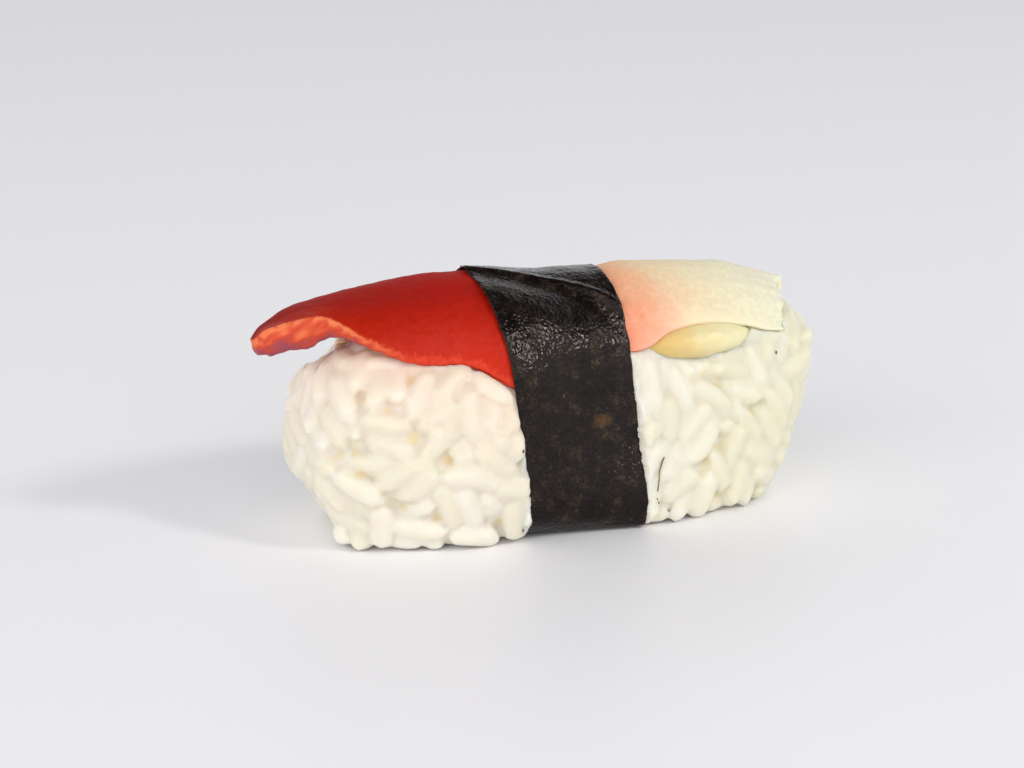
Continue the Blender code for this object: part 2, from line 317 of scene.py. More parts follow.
# Toward the front edge the red turns brighter and more orange: painted glow of light through the thin front
# edge
painted_front_glow = add(tree, "MapRange", {"Value": across, "From Min": -0.35, "From Max": -1.0, "To Max": 0.75})
edge_glow_colour = add(
    tree, "ValToRGB", {"Fac": length_share},
    stops=(
        (0.0, "#b82812"), (0.2, "#d02a0b"), (0.42, "#dc300e"), (0.54, "#e24e28"), (0.61, "#fba488"),
        (0.67, "#fbbb9e"), (0.73, "#f5dfba"), (0.85, "#f1e9c8"), (1.0, "#edeed4"),
    ),
)
skin_mix = add(tree, "Mix", {"Factor": painted_front_glow, 6: skin_colour, 7: edge_glow_colour}, data_type="RGBA")
mottle_share = add(tree, "MapRange", {"Value": mottle, "From Min": 0.35, "From Max": 0.7})
mottled = add(tree, "HueSaturation", {"Color": skin_mix, "Value": 0.88, "Saturation": 1.03})
skin_final = add(tree, "Mix", {"Factor": mottle_share, 6: mottled, 7: skin_mix}, data_type="RGBA")
# The fibres of the cut face slant down toward the tip, about 0.8 mm apart
slant = add(
    tree, "Mapping", {"Vector": place, "Rotation": (0, math.radians(-34), 0), "Scale": (3.6, 1, 1)},
    vector_type="TEXTURE",
)
fibres = add(tree, "TexNoise", {"Vector": slant, "Scale": grain(0.8), "Detail": 1.0, "Distortion": 0.3})
fibre_shade = add(tree, "Math", {0: fibres, 1: 1.5, 2: -0.78}, operation="MULTIPLY_ADD")
cut_place = add(tree, "Math", {0: rim, 1: fibre_shade}, operation="ADD")
# The cut face's own orange-red carries painted light: a painted highlight makes it light orange at the skin
# side, painted shade turns it dark mauve toward the underside, and the fibres add painted highlights on their
# ridges
cut_colour = add(
    tree, "ValToRGB", {"Fac": cut_place},
    stops=((0.0, "#e27a4e"), (0.2, "#d85d39"), (0.45, "#c94832"), (0.66, "#b94a40"), (0.95, "#a14b55")),
)
# Past the tip the cut face thins to a paler line in the front edge's colour, its painted glow included
line_colour = add(tree, "Mix", {"Factor": 0.05, 6: edge_glow_colour, 7: linear("#f6c39a")}, data_type="RGBA")
past_tip = add(tree, "MapRange", {"Value": along, "From Min": -25.0, "From Max": -19.0})
edge_colour = add(tree, "Mix", {"Factor": past_tip, 6: cut_colour, 7: line_colour}, data_type="RGBA")
# and it creeps up over the skin's edge in a ragged fringe, about 1 mm high
frayed = add(tree, "Math", {0: mottle, 1: 0.25, 2: across}, operation="MULTIPLY_ADD")
near_cut = add(tree, "MapRange", {"Value": frayed, "From Min": -0.8, "From Max": -0.86})
past_edge = add(tree, "Math", {0: rim, 1: 12.0}, operation="MULTIPLY")
on_cut = add(tree, "Math", {0: past_edge, 1: near_cut}, operation="MAXIMUM", use_clamp=True)
flesh_colour = add(tree, "Mix", {"Factor": on_cut, 6: skin_final, 7: edge_colour}, data_type="RGBA")
# The top of the slice has dried and is duller
gloss = add(tree, "MapRange", {"Value": mottle, "To Min": 0.32, "To Max": 0.56})
dry = add(tree, "MapRange", {"Value": across, "From Min": -0.75, "From Max": -0.2, "To Max": 0.28})
dulled = add(tree, "Math", {0: gloss, 1: dry}, operation="ADD")
# The skin is pebbled, more so on the red half
pebbles = add(tree, "TexVoronoi", {"Vector": place, "Scale": grain(0.55)})
relief = add(tree, "Math", {0: pebbles, 1: 0.45, 2: mottle}, operation="MULTIPLY_ADD")
cut_relief = add(tree, "Mix", {"Factor": on_cut, 2: relief, 3: fibres})
pebbled = add(
    tree, "MapRange", {"Value": along, "From Min": -8.0, "From Max": 8.0, "To Min": 0.4, "To Max": 0.09}
)
bump = add(tree, "Bump", {"Height": cut_relief, "Strength": pebbled, "Distance": 0.1 * MM})
skin_finish = {
    "Base Color": flesh_colour, "Roughness": dulled, "IOR": 1.38, "Specular IOR Level": 0.24,
    "Subsurface Weight": 0.35, "Subsurface Radius": (1.6, 0.5, 0.3), "Subsurface Scale": MM, "Normal": bump,
}
wire(tree, shader, skin_finish)
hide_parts("clam")
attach(clam, "root")

# Inner fold of the clam
# The thin half of the opened foot, tucked under the arch of the front edge. Soft, translucent flesh, coloured
# ochre: its own colour with painted shade under the arch.
FOLD_CENTRE = Vector((14.6, -5.9, 18.9))
FOLD_RADII = Vector((7.0, 3.8, 2.3))
FOLD_FROM_X = 9.0
FOLD_TO_X = 20.0


def taken_from(shape):
    """The points and faces of a bmesh, its faces sorted, because a ready-made sphere's change their order."""
    shape.verts.index_update()
    points = [vert.co[:] for vert in shape.verts]
    faces = [[vert.index for vert in face.verts] for face in shape.faces]
    firsts = [face.index(min(face)) for face in faces]
    shape.free()
    return points, sorted(face[first:] + face[:first] for face, first in zip(faces, firsts))


fold_shape = bmesh.new()
bmesh.ops.create_uvsphere(fold_shape, u_segments=96, v_segments=48, radius=1)
for vert in fold_shape.verts:
    spread = Vector([v * r for v, r in zip(vert.co, FOLD_RADII)])
    pucker = 1 + 0.05 * noise.noise(spread * 0.6) + 0.025 * noise.noise(spread * 1.7)
    vert.co = FOLD_CENTRE + spread * pucker
fold_points, fold_faces = taken_from(fold_shape)
fold = piece("clam_inner_fold", fold_points, fold_faces)
# Inner clam flesh: wet and almost smooth. Its ochre is flesh colour with painted shade under the arch,
# darkest at the left end and paler to the right
tree, shader = finish_of(fold, "inner_clam_flesh_and_painted_shade")
place = add(tree, "TexCoord").outputs["Object"]
clouds = add(tree, "TexNoise", {"Vector": place, "Scale": grain(3.0), "Detail": 3.0})
fold_x = add(tree, "SeparateXYZ", {0: place})
fold_place = add(
    tree, "MapRange",
    {"Value": fold_x, "From Min": FOLD_FROM_X * MM + TO_ORIGIN.x, "From Max": FOLD_TO_X * MM + TO_ORIGIN.x},
)
fold_share = add(tree, "Math", {0: clouds, 1: 0.5, 2: fold_place}, operation="MULTIPLY_ADD")
fold_colour_and_shade = add(
    tree, "ValToRGB", {"Fac": fold_share}, stops=((0.2, "#d9b667"), (0.6, "#dfc88d"), (1.0, "#e6deb2"))
)
fine = add(tree, "TexNoise", {"Vector": place, "Scale": grain(0.5), "Detail": 4.0})
bump = add(tree, "Bump", {"Height": fine, "Strength": 0.2, "Distance": 0.1 * MM})
fold_finish = {
    "Base Color": fold_colour_and_shade, "Roughness": 0.34, "IOR": 1.38, "Subsurface Weight": 0.6,
    "Subsurface Radius": (1.8, 1.1, 0.5), "Subsurface Scale": MM, "Normal": bump,
}
wire(tree, shader, fold_finish)
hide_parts("clam")
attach(fold, "root")

# Seaweed band
# One strip of roasted nori, 15 mm wide, wrapped tight round clam and rice. Its ends overlap under the rice,
# where they stick to each other with the rice's moisture.
BAND_LEFT_X = (-7.0, -9.3)
BAND_RIGHT_X = (6.1, 6.0)
BAND_TOP = 26.0
# Behind the ridge the left edge slants back this far
BAND_BACK_SLANT = 1.1
BAND_LEVELS = (
    # height, front left, front right, back left, back right
    (10.5, 12.3, 10.8, 13.2, 12.4),
    (3.8, 12.9, 13.1, 13.8, 13.4),
    (1.1, 11.0, 12.8, 12.4, 12.4),
    (0.35, 8.4, 11.4, 10.0, 10.0),
    (0.35, 4.4, 5.6, 5.0, 5.0),
)
# Before the crease: height, distance from it and width of the crease itself, the valley and the swelling
CREASES = ((0.26, 0.0, 0.5), (-0.26, 1.8, 1.2), (0.24, 6.0, 1.8))
LEAF_CRUMPLE = ((0.11, 3.8, 2.0), (0.05, 1.3, 6.0), (0.02, 0.5, 4.0))
LEAF_EDGE_WANDER = ((0.1, 1.1, 11.0), (0.16, 4.5, 12.0))
LEAF_LIFT = 0.05
LOWEST_LEAF = 0.35
CLAM_GAP = 0.12
LEAF_THICKNESS = 0.2
LEAF_MIDDLE = 0.17
LEAF_COLUMNS = 70
LEAF_ROWS = 460
# Places on the closed path count its points: 17 over the clam, five down the back, five up the front
STEPS_OVER_CLAM = 17
PATH_POINTS = 27
LEAF_START = 21.2
LEAF_OVERLAP = 1.5


def round_path(controls, places):
    """Points at the places along smooth closed curves through rows of control points."""
    count = controls.shape[1]
    whole = np.floor(places).astype(int)
    t = (places - whole)[None, :, None]
    before, here, there, after = (controls[:, (whole + k) % count] for k in (-1, 0, 1, 2))
    return 0.5 * (
        2 * here
        + (there - before) * t
        + (2 * before - 5 * here + 4 * there - after) * t**2
        + (3 * here - before - 3 * there + after) * t**3
    )


leaf_right = np.linspace(0, 1, LEAF_COLUMNS + 1)
ridge_x = BAND_LEFT_X[1] + (BAND_RIGHT_X[1] - BAND_LEFT_X[1]) * leaf_right
leaf_across = np.tile(np.linspace(-1, 1, STEPS_OVER_CLAM), (len(ridge_x), 1))
over_clam = clam_skin(ridge_x, leaf_across, CLAM_GAP)[:, :, 1:]
levels = np.array(BAND_LEVELS)
heights = np.broadcast_to(levels[None, :, 0], (len(ridge_x), len(levels)))
front_y = -(levels[None, :, 1] + (levels[:, 2] - levels[:, 1])[None, :] * leaf_right[:, None])
back_y = levels[None, :, 3] + (levels[:, 4] - levels[:, 3])[None, :] * leaf_right[:, None]
controls = np.concatenate(
    [over_clam, np.stack([back_y, heights], -1), np.stack([front_y, heights], -1)[:, ::-1]], 1
)
leaf_places = np.linspace(LEAF_START, LEAF_START + PATH_POINTS + LEAF_OVERLAP, LEAF_ROWS + 1)
path = round_path(controls, leaf_places)
path[:, :, 1] = np.maximum(path[:, :, 1], LOWEST_LEAF)
run = np.gradient(path, axis=1)
path_out = unit(np.stack([-run[:, :, 1], run[:, :, 0]], -1))
# The first end lies on top of the last one under the rice
under_lap = (LEAF_THICKNESS + 0.02) * (1 - smooth_step(leaf_places, LEAF_START + 1.6, LEAF_START + 2.5))
middle = path + path_out * (LEAF_MIDDLE - under_lap)[None, :, None]


def on_leaf(flat):
    """Points of the band in three dimensions from its path's y and z."""
    up = flat[:, :, 1] / BAND_TOP
    left = BAND_LEFT_X[0] + (BAND_LEFT_X[1] - BAND_LEFT_X[0]) * up
    left = left + BAND_BACK_SLANT * smooth_step(flat[:, :, 0], 0.5, 5.0) * up
    right = BAND_RIGHT_X[0] + (BAND_RIGHT_X[1] - BAND_RIGHT_X[0]) * up
    return np.stack([left + (right - left) * leaf_right[:, None], flat[:, :, 0], flat[:, :, 1]], -1)


leaf = on_leaf(middle)
# A crease runs slantwise over the top, with a shallow valley before it and a swelling below that
crease_y = -0.5 - (leaf[:, :, 0] + 8) * 0.31 - 0.03 * np.maximum(leaf[:, :, 0] + 1, 0) ** 2
before_crease = np.where(leaf[:, :, 2] > 15, crease_y - leaf[:, :, 1], 99.0)
shape = sum(high * np.exp(-(((before_crease - far) / wide) ** 2)) for high, far, wide in CREASES)
shape += waves(leaf, LEAF_CRUMPLE)
# The left edge stands off the clam a little
shape += LEAF_LIFT * (1 - smooth_step(leaf_right, 0, 0.07))[:, None] * smooth_step(leaf[:, :, 2], 6, 16)
flat_below = smooth_step(leaf[:, :, 2], 0.5, 2.0)
middle = middle + path_out * (shape * flat_below)[:, :, None]
leaf = on_leaf(middle)
# The strip was cut with scissors from a sheet of matted fibres, so its edges wander and crumble
leaf[:, :, 0] += waves(leaf, LEAF_EDGE_WANDER) * smooth_step(np.abs(leaf_right - 0.5), 0.4, 0.5)[:, None]
leaf_out = outward(leaf)
outer_leaf = leaf - leaf_out * LEAF_THICKNESS / 2
inner_leaf = leaf + leaf_out * LEAF_THICKNESS / 2
outer_leaf[:, :, 2] = np.maximum(outer_leaf[:, :, 2], 0.01)
# Columns run round the piece and rows across it, so the outer side is the one the grid turns away from
leaf_points, leaf_faces, leaf_rim, leaf_source = slab(inner_leaf, outer_leaf, 3, 0.5)
band = piece("nori_strip", leaf_points, leaf_faces, {"rim": leaf_rim})

# Roasted nori: a felt of dark red algae pressed thin. Brown-black with olive and tobacco specks, dull with
# a broken sheen from the glossy side, and thin enough in one spot to look amber.
tree, shader = finish_of(band, "roasted_nori")
place = add(tree, "TexCoord").outputs["Object"]
felt = add(tree, "TexNoise", {"Vector": place, "Scale": grain(1.6), "Detail": 6.0, "Roughness": 0.7})
specks = add(tree, "TexNoise", {"Vector": place, "Scale": grain(0.35), "Detail": 4.0, "Roughness": 0.7})
speck_part = add(tree, "Math", {0: specks, 1: 0.4}, operation="MULTIPLY")
matted = add(tree, "Math", {0: felt, 1: 0.6, 2: speck_part}, operation="MULTIPLY_ADD")
nori_colour = add(
    tree, "ValToRGB", {"Fac": matted},
    stops=((0.4, "#040201"), (0.49, "#0e0906"), (0.54, "#19120c"), (0.59, "#2a2117"), (0.66, "#4a3e29")),
)
# The thin spot, 3 mm across and half as high, on the right of the front face
THIN_SPOT = Vector((1.9, -11.9, 12.3))
thin_place = add(tree, "Mapping", {"Vector": place, "Location": -THIN_SPOT * MM - TO_ORIGIN})
thin_flat = add(tree, "Mapping", {"Vector": thin_place, "Scale": (1, 1, 1.9)})
thin_from = add(tree, "VectorMath", {0: thin_flat}, operation="LENGTH")
thin_edge = add(tree, "Math", {0: specks, 1: 2.4 * MM, 2: thin_from}, operation="MULTIPLY_ADD")
thin_share = add(
    tree, "MapRange", {"Value": thin_edge, "From Min": 3.0 * MM, "From Max": 1.7 * MM, "To Max": 0.6}
)
nori_final = add(tree, "Mix", {"Factor": thin_share, 6: nori_colour, 7: linear("#6a4a22")}, data_type="RGBA")
sheen_patches = add(
    tree, "MapRange", {"Value": felt, "From Min": 0.35, "From Max": 0.65, "To Min": 0.14, "To Max": 0.31}
)
leaf_grain = add(tree, "TexVoronoi", {"Vector": place, "Scale": grain(0.36)}, feature="SMOOTH_F1")
leaf_height = add(tree, "Math", {0: specks, 1: 0.14, 2: leaf_grain}, operation="MULTIPLY_ADD")
bump = add(tree, "Bump", {"Height": leaf_height, "Distance": 0.07 * MM})
leaf_finish = {
    "Base Color": nori_final, "Roughness": sheen_patches, "IOR": 1.45, "Specular IOR Level": 0.27,
    "Specular Tint": linear("#fff2ec"), "Normal": bump,
}
wire(tree, shader, leaf_finish)
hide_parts("nori_band")
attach(band, "root")

# Rice
# Short-grain rice, cooked soft, seasoned and pressed by hand. The grains keep their shape but stick together
# in a film of starch, so the block is a skin of whole grains over a packed middle.
GRAIN_LENGTH = 6.2
GRAIN_WIDTH = 2.6
GRAIN_DEPTH = 2.35
# A grain is pushed about as a row of balls
GRAIN_BEADS = 4
GRAIN_SPACING = 2.8
GRAIN_ROUNDS = 60
# Two pressed grains keep this share of their width, and each round mends this share of what they overlap
PRESSED_SHARE = 0.9
MENDED = 0.4
INNER_GRAINS = 500
INNER_DEPTH = 2.9
CORE_SPACING = 2.4
CORE_COVER = 0.9
CORE_LARGEST = 4.5
PIT_DEPTH = 0.8
PIT_RADIUS = 0.5
FILM = 0.26
RICE_SPLIT_X = -1.4
# Grains of the front face that stand out: x, z, and the lean from upright in degrees, or None for end on
GRAINS_SHOWN = (
    (-23.9, 3.3, 2), (-12.6, 3.1, -22), (-19.3, 2.2, 78), (-26.6, 4.0, 88), (-11.0, 12.2, None),
    (-21.7, 18.6, 5), (-15.7, 19.0, 72), (-9.3, 2.6, 8), (18.2, 3.4, -6), (14.2, 3.2, 14),
    (7.6, 3.0, 10), (8.2, 15.6, -4), (10.2, 11.2, 4), (12.9, 11.6, 14), (16.4, 9.9, None), (15.4, 5.4, 2),
    (11.3, 4.4, 58),
)
# Small open pits between grains of the front face: x, z
PITS_SHOWN = (
    (-22.3, 16.3), (-20.4, 13.3), (-25.9, 11.8), (-27.7, 10.8), (-25.6, 9.3), (-16.9, 10.7), (-22.4, 5.6),
    (-21.4, 5.0), (-19.8, 19.2), (-25.1, 17.4), (-18.0, 4.0), (-11.0, 2.4), (14.9, 15.8), (16.9, 14.3),
    (16.2, 7.8), (13.6, 6.4), (20.9, 10.9), (16.1, 1.6),
)
# The left shoulder of the block falls away under the clam's tip: a point of it, x and z at the middle of the
# block, its rise for each mm of x and its fall for each mm toward the back
SHOULDER = (-26.0, 19.0)
SHOULDER_RISE = 0.5
SHOULDER_FALL = 0.42
# Depths in the block are kept on a grid with this spacing and this margin round it
DEPTH_STEP = 0.6
DEPTH_MARGIN = 2.4
# What is this close to the clam or the band is covered, and there the rice may be squeezed in this far
COVERED_GAP = 0.6
SQUEEZE = 1.2
# The grains may stand this far out of the CAD block, and this much further at its foot
EASE = 0.4
FOOT_EASE = 0.5
FOOT_HEIGHT = 4.0
# The block's axis in y and z
RICE_AXIS = (0.5, 10.5)
# Grains are tucked in along the edges of the slice and of the band, this far apart and this deep
TUCK_STEP = 2.0
TUCK_FROM_X = -21
TUCK_TO_X = 27
TUCK_DEPTH = 2.3
BAND_TUCK_DEPTH = 1.7
# Starch fills the gaps: this deep they stay as they are, and this share of the depth below that is left
OPEN_GAP = 0.32
GAP_LEFT = 0.42
# The left end draws in below this height, but at its front corner the grains of the foot stand out
HOLLOW_TOP = 8.0
HOLLOW_DEPTH = 1.8
LEFT_FOOT_EASE = 1.1
LEFT_FOOT_HEIGHT = 3.0
# The rice gives way this far under the front edge of the red half, and this far round it
EDGE_GIVE = 0.8
EDGE_REACH = 2.2
# Places tried for the grains of the surface and of the layer below it
DARTS = 70000
INNER_DARTS = 40000
chance = np.random.default_rng(29)


def in_mm(mesh):
    """A mesh's vertices in millimetres from the middle of the band."""
    return (np.array([vert.co for vert in mesh.vertices]) - np.array(TO_ORIGIN)) / MM


def solid_of(node, chosen=None):
    """A tree of a CAD node's triangles, or of the chosen ones, with their middles and points."""
    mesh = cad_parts[node].data
    mesh.calc_loop_triangles()
    points = in_mm(mesh)
    sides = np.array([triangle.vertices for triangle in mesh.loop_triangles])
    if chosen is not None:
        sides = sides[chosen]
    return BVHTree.FromPolygons(points.tolist(), sides.tolist()), points[sides].mean(axis=1), points


rice_hull, middles, corners = solid_of("rice")
clam_hull, band_hull = solid_of("clam")[0], solid_of("nori_band")[0]
open_sides = [
    min(clam_hull.find_nearest(spot)[3], band_hull.find_nearest(spot)[3]) > COVERED_GAP for spot in middles
]
open_hull = solid_of("rice", np.array(open_sides))[0]

# How deep each point of a grid lies in the pressed block, below 0 outside it. The grains may be squeezed a
# little way into the room of the clam and the band, but not out of the open sides
lowest, highest = corners.min(axis=0) - DEPTH_MARGIN, corners.max(axis=0) + DEPTH_MARGIN
lines = [np.arange(low, high + DEPTH_STEP, DEPTH_STEP) for low, high in zip(lowest, highest)]
depths = np.empty([len(line) for line in lines])
for i, x in enumerate(lines[0]):
    for j, y in enumerate(lines[1]):
        crossings = []
        start = Vector((x, y, lowest[2]))
        while (hit := rice_hull.ray_cast(start, (0, 0, 1))[0]) is not None:
            crossings.append(hit.z)
            start = hit + Vector((0, 0, 0.001))
        for k, z in enumerate(lines[2]):
            _, _, side, away = rice_hull.find_nearest((x, y, z))
            inside = np.searchsorted(crossings, z) % 2 == 1
            if inside or not open_sides[side]:
                squeezed = (away if inside else -away) + SQUEEZE
                depths[i, j, k] = min(open_hull.find_nearest((x, y, z))[3], squeezed)
            else:
                depths[i, j, k] = -away
shoulder_z = SHOULDER[1] + SHOULDER_RISE * (lines[0] - SHOULDER[0])[:, None] - SHOULDER_FALL * lines[1]
under_shoulder = shoulder_z[:, :, None] - lines[2][None, None, :]
depths = np.minimum(depths, under_shoulder / math.hypot(1, SHOULDER_RISE, SHOULDER_FALL))
depths += EASE + FOOT_EASE * np.clip(1 - lines[2] / FOOT_HEIGHT, 0, 1)[None, None, :]
left_end = smooth_step(-lines[0], 20, 26)[:, None, None]
behind_corner = smooth_step(lines[1], -6, -1)[None, :, None]
hollow = HOLLOW_DEPTH * (1 - smooth_step(lines[2], HOLLOW_TOP / 2, HOLLOW_TOP))[None, None, :]
left_foot = LEFT_FOOT_EASE * np.clip(1 - lines[2] / LEFT_FOOT_HEIGHT, 0, 1)[None, None, :]
depths += left_end * (left_foot * (1 - behind_corner) - hollow * behind_corner)
front_edge = clam_skin(lines[0], np.full((len(lines[0]), 1), -1.0))[:, 0]
to_edge_y = lines[1][None, :, None] - front_edge[:, 1][:, None, None]
to_edge_z = lines[2][None, None, :] - front_edge[:, 2][:, None, None]
on_red = smooth_step(lines[0], -24, -20) * (1 - smooth_step(lines[0], -8, -6))
depths -= EDGE_GIVE * np.exp(-(to_edge_y**2 + to_edge_z**2) / EDGE_REACH**2) * on_red[:, None, None]
depths = np.minimum(depths, lines[2][None, None, :])
known = np.stack([depths, *np.gradient(depths, DEPTH_STEP)], -1)


def below_surface(points):
    """How deep each point lies in the pressed block, and which way is out from there."""
    place = np.clip((points - lowest) / DEPTH_STEP, 0, np.array(depths.shape) - 1.001)
    whole = place.astype(int)
    total = np.zeros((len(points), 4))
    for corner in np.ndindex(2, 2, 2):
        weight = np.prod(np.where(corner, place - whole, 1 - place + whole), axis=1)
        total += weight[:, None] * known[tuple((whole + corner).T)]
    away = np.linalg.norm(total[:, 1:], axis=1, keepdims=True)
    return total[:, 0], -total[:, 1:] / np.maximum(away, 1e-6)


def on_front(x, z):
    """The point of the block's front face at that place."""
    y = np.arange(lowest[1], highest[1], 0.1)
    depth, _ = below_surface(np.stack([np.full_like(y, x), y, np.full_like(y, z)], -1))
    return (x, y[np.argmax(depth > 0)], z)


# Grain places: those that stand out, then darts thrown at the surface that keep their distance
shown = np.array([on_front(x, z) for x, z, _ in GRAINS_SHOWN])
pits = np.array([on_front(x, z) for x, z in PITS_SHOWN])
pits -= below_surface(pits)[1] * PIT_DEPTH
darts = chance.uniform(lowest, highest, (DARTS, 3))
depth, out = below_surface(darts)
near = np.abs(depth) < DEPTH_STEP
darts = np.concatenate([shown, darts[near] + out[near] * depth[near][:, None]])
kept = []
for k, dart in enumerate(darts):
    if k < len(shown) or np.min(np.sum((darts[kept] - dart) ** 2, axis=1)) > GRAIN_SPACING**2:
        kept.append(k)
places = darts[kept]
under_band = (places[:, 0] > BAND_LEFT_X[0] + 2.5) & (places[:, 0] < BAND_RIGHT_X[1] - 2.5)
places = places[~under_band | (np.arange(len(places)) < len(shown))]
count = len(places)
grain_out = below_surface(places)[1]
grain_middle = places - grain_out * GRAIN_WIDTH / 2
grain_size = chance.uniform(0.9, 1.06, count)
# On the right the grains lie more upright. About one grain in eight anywhere stands on end
loose = chance.normal(size=(count, 3))
loose[:, 2] *= np.where(places[:, 0] > 0, 2.0, 1.0)
lying = chance.random(count) > 0.12
for k, (_, _, lean) in enumerate(GRAINS_SHOWN):
    lying[k] = lean is not None
    tilt = math.radians(lean or 0)
    loose[k] = (math.sin(tilt), 0, math.cos(tilt)) if lying[k] else grain_out[k]
flatness = np.where(lying, 1.0, 0.1)[:, None]
grain_axis = loose - grain_out * np.sum(loose * grain_out, axis=1, keepdims=True) * flatness
grain_axis = unit(grain_axis)

# Pressing: the grains push each other apart, and the hand keeps them inside the block
reach = np.linspace(-1, 1, GRAIN_BEADS) * (GRAIN_LENGTH - GRAIN_WIDTH) / 2
bead = GRAIN_WIDTH / 2
owner = np.repeat(np.arange(count), GRAIN_BEADS)
freedom = np.where(np.arange(count) < len(shown), 0.3, 1.0)[:, None]
for turn in range(GRAIN_ROUNDS):
    arms = grain_axis[:, None, :] * (reach[None, :] * grain_size[:, None])[:, :, None]
    beads = (grain_middle[:, None, :] + arms).reshape(-1, 3)
    squares = np.sum(beads**2, axis=1)
    apart = squares[:, None] + squares[None, :] - 2 * beads @ beads.T
    room = 2 * PRESSED_SHARE * bead
    one, other = np.nonzero((apart < room**2) & (owner[:, None] < owner[None, :]))
    way = beads[one] - beads[other]
    gap = np.maximum(np.linalg.norm(way, axis=1, keepdims=True), 1e-3)
    shove = way / gap * (room - gap) * MENDED
    push = np.zeros_like(beads)
    np.add.at(push, one, shove)
    np.add.at(push, other, -shove)
    from_pit = beads[:, None, :] - pits[None, :, :]
    pit_gap = np.linalg.norm(from_pit, axis=2, keepdims=True)
    push += np.sum(from_pit / pit_gap * np.clip(bead + PIT_RADIUS - pit_gap, 0, 0.4), axis=1)
    depth, out = below_surface(beads)
    shallow = bead * 0.95 - depth
    push += out * -np.where(shallow > 0, shallow, np.maximum(shallow, -0.3) * 0.5)[:, None]
    push = push.reshape(-1, GRAIN_BEADS, 3)
    twist = np.sum(push * reach[None, :, None], axis=1) / np.sum(reach**2)
    grain_middle += np.clip(push.mean(axis=1), -0.5, 0.5) * freedom
    grain_axis += np.clip(twist, -0.3, 0.3) * np.where(lying, 1.0, 0.35)[:, None] * freedom
    grain_axis = unit(grain_axis)
grain_out = below_surface(grain_middle)[1]


def toward_axis(edge, depth):
    """The points of an edge, moved that far toward the block's axis."""
    return edge + unit(np.array([0, *RICE_AXIS]) - edge * (0, 1, 1)) * depth


# Grains tucked in along the edges of the slice and of the band, each about in line with the edge
tuck_x = np.arange(TUCK_FROM_X, TUCK_TO_X, TUCK_STEP)
tucked, tuck_axis = [], []
for side in (-1.0, 1.0):
    edge = clam_skin(tuck_x, np.full((len(tuck_x), 1), side))[:, 0]
    tucked.append(toward_axis(edge, TUCK_DEPTH))
    tuck_axis.append(np.gradient(edge, axis=0) + chance.normal(scale=0.35, size=edge.shape))
for edge in (leaf[0], leaf[-1]):
    gone = np.concatenate([[0], np.cumsum(np.linalg.norm(np.diff(edge, axis=0), axis=1))])
    evenly = np.arange(0, gone[-1], TUCK_STEP)
    edge = np.stack([np.interp(evenly, gone, edge[:, k]) for k in range(3)], -1)
    tucked.append(toward_axis(edge, BAND_TUCK_DEPTH))
    tuck_axis.append(np.gradient(edge, axis=0) / TUCK_STEP + chance.normal(scale=0.4, size=edge.shape))
# and a few that hold up the inner fold
fold_x = np.arange(-4.5, 5, TUCK_STEP)
fold_z = FOLD_CENTRE.z - FOLD_RADII.z * np.sqrt(1 - (fold_x / FOLD_RADII.x) ** 2) - GRAIN_DEPTH * 0.35
tucked.append(np.stack([FOLD_CENTRE.x + fold_x, np.full_like(fold_x, FOLD_CENTRE.y - 1.6), fold_z], -1))
tuck_axis.append(np.stack([np.ones_like(fold_x), 0.2 * fold_x, 0.1 * fold_x], -1))
tucked, tuck_axis = np.concatenate(tucked), np.concatenate(tuck_axis)
in_block = below_surface(tucked)[0] > bead * 0.5
tucked, tuck_axis = tucked[in_block], tuck_axis[in_block]
tuck_axis = unit(tuck_axis)
tuck_out = below_surface(tucked)[1]


def clear_of_pits(points, radius):
    """Whether balls of that radius at the points leave the pits open."""
    gaps = np.linalg.norm(points[:, None, :] - pits[None, :, :], axis=2)
    return np.min(gaps, axis=1) > radius + PIT_RADIUS


# A second layer shows in the gaps, and plain blobs fill the middle
inner = chance.uniform(lowest, highest, (INNER_DARTS, 3))
inner_depth = below_surface(inner)[0]
inner = inner[(np.abs(inner_depth - INNER_DEPTH) < 0.5) & clear_of_pits(inner, bead + 0.6)][:INNER_GRAINS]
inner_axis = unit(chance.normal(size=inner.shape))
spaced = [np.arange(low, high, CORE_SPACING) for low, high in zip(lowest, highest)]
lattice = np.stack(np.meshgrid(*spaced, indexing="ij"), -1).reshape(-1, 3)
lattice += chance.uniform(-0.4, 0.4, lattice.shape)
under_band = (lattice[:, 0] > BAND_LEFT_X[0]) & (lattice[:, 0] < BAND_RIGHT_X[1])
core_radius = below_surface(lattice)[0] - np.where(under_band, 0.4, CORE_COVER)
core_radius = np.minimum(core_radius, CORE_LARGEST)
solid = (core_radius > 1.0) & clear_of_pits(lattice, core_radius - 0.6)
lattice, core_radius = lattice[solid], core_radius[solid]

# The mesh of one grain
GRAIN_RINGS = 6
GRAIN_SIDES = 9
grain_kinds = bpy.data.collections.new("grain_kinds")


def kind_of_grain(name, shape):
    """Puts a shape built in bmesh among the kinds of grains."""
    mesh = bpy.data.meshes.new(name)
    shape.to_mesh(mesh)
    shape.free()
    made = bpy.data.objects.new(name, mesh)
    grain_kinds.objects.link(made)
    return made


